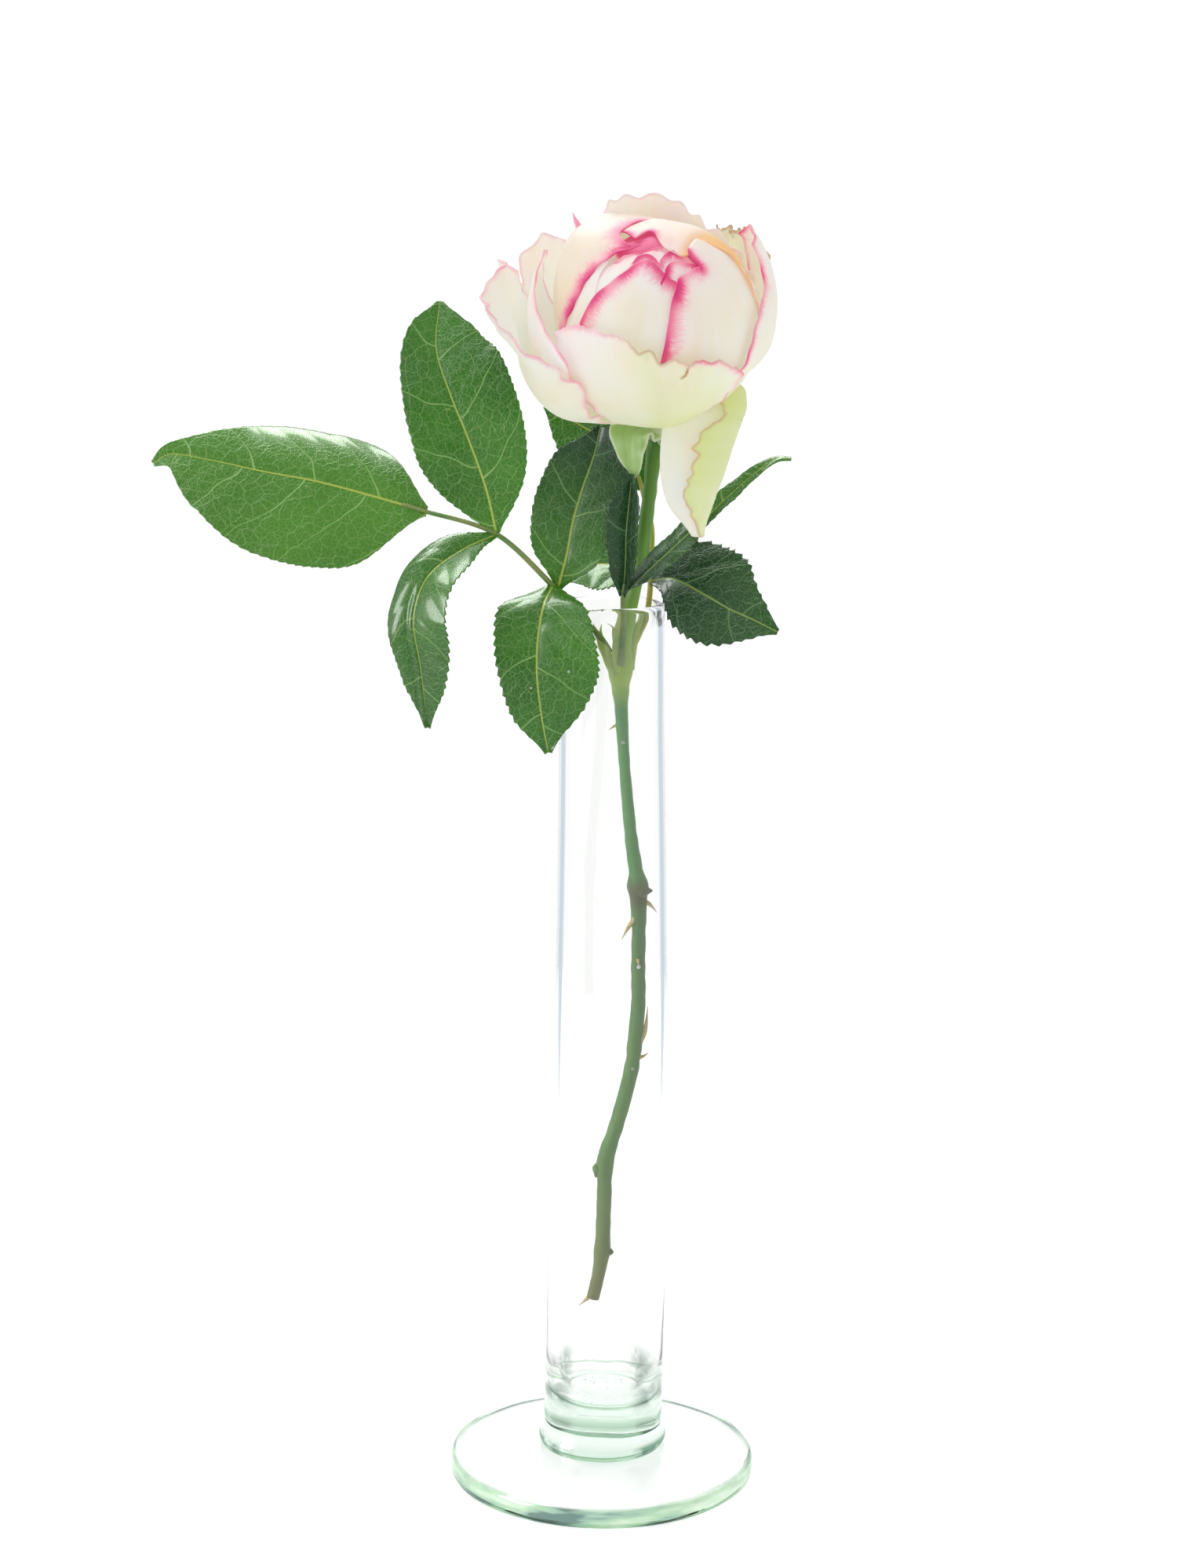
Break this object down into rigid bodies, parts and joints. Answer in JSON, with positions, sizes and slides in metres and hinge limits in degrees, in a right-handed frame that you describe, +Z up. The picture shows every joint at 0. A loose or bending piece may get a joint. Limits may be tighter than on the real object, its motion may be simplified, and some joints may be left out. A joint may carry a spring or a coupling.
{
  "type": "rose in vase",
  "caption": "Single cut garden rose with leaves, its half-open cupped bloom leaning forward, standing in a slim clear glass bud vase with a round foot.",
  "frame": {"origin": "centre of the underside of the vase's foot", "axes": "+Z up along the vase's tube, -Y towards the front, where the bloom leans, and +X to the right seen from the front"},
  "size_m": [0.1684, 0.0871, 0.3591],
  "materials": {
    "glass": "polished",
    "stem": "satin",
    "sepal": "matte",
    "leaf": "satin",
    "petal": "matte"
  },
  "bodies": {
    "root": {"vase": "glass", "stem": "stem", "calyx": "sepal", "leaf_left": "leaf", "leaf_back": "leaf", "leaf_front": "leaf", "bloom": "petal"}
  },
  "joints": []
}
